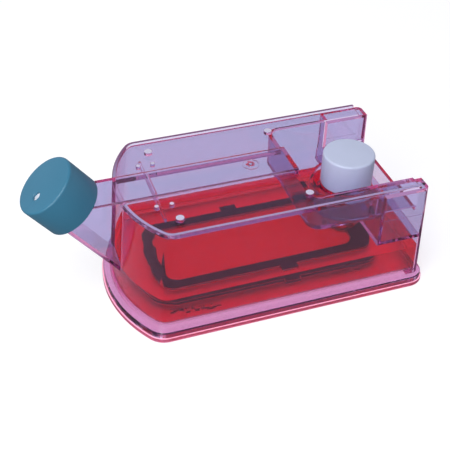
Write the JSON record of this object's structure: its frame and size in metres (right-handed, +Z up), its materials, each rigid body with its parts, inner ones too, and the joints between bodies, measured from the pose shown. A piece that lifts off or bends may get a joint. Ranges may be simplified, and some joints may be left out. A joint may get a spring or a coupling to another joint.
{
  "type": "cell culture flask",
  "caption": "Two-compartment membrane culture flask: clear box with a slanted vented neck, a port cap in a corner well, medium, and a gasketed membrane compartment below its floor.",
  "frame": {"origin": "on the plane of the rest face, in the middle plane, where the nose arc meets the straight sides at the rim", "axes": "+X along the flask from the slanted neck to the port cap, +Y across it, +Z up"},
  "size_m": [0.2806, 0.1284, 0.117],
  "materials": {
    "clear_polystyrene": "clear moulded polystyrene",
    "teal_polyethylene": "satin moulded cap",
    "white_polyethylene": "satin moulded cap",
    "dark_rubber": "matt elastomer",
    "silicone_sheet": "translucent sheet",
    "cellulose_membrane": "thin sheet",
    "filter_membrane": "white porous disc",
    "medium": "red culture medium",
    "suspension": "culture medium with cells"
  },
  "bodies": {
    "flask": {"housing": "clear_polystyrene", "base_tray": "clear_polystyrene", "membrane_gasket": "dark_rubber", "dialysis_membrane": "cellulose_membrane", "cell_frame": "clear_polystyrene", "gas_membrane": "silicone_sheet", "support_grid": "clear_polystyrene", "port_tube": "clear_polystyrene", "nutrient_medium": "medium", "cell_suspension": "suspension"},
    "vent_seat": {"vent_filter": "filter_membrane"},
    "vent_cap": {"vent_cap": "teal_polyethylene"},
    "port_seat": {"port_cap_liner": "silicone_sheet"},
    "port_cap": {"port_cap": "white_polyethylene"}
  },
  "joints": [
    {"name": "vent_cap_rise", "type": "slide", "parent": "flask", "child": "vent_seat", "axis": [-0.6129, 0, 0.7902], "range_m": [0, 0.008]},
    {"name": "vent_cap_turn", "type": "hinge", "parent": "vent_seat", "child": "vent_cap", "pos_m": [-0.0518, 0, 0.0825], "axis": [-0.6129, 0, 0.7902], "range_deg": [0, 720]},
    {"name": "port_cap_rise", "type": "slide", "parent": "flask", "child": "port_seat", "axis": [0, 0, 1], "range_m": [0, 0.006]},
    {"name": "port_cap_turn", "type": "hinge", "parent": "port_seat", "child": "port_cap", "pos_m": [0.152, 0, 0.0593], "axis": [0, 0, 1], "range_deg": [0, 540]}
  ],
  "couplings": [
    {"joint": "vent_cap_rise", "follows": "vent_cap_turn", "m_per_rad": 0.00063662},
    {"joint": "port_cap_rise", "follows": "port_cap_turn", "m_per_rad": 0.00063662}
  ]
}
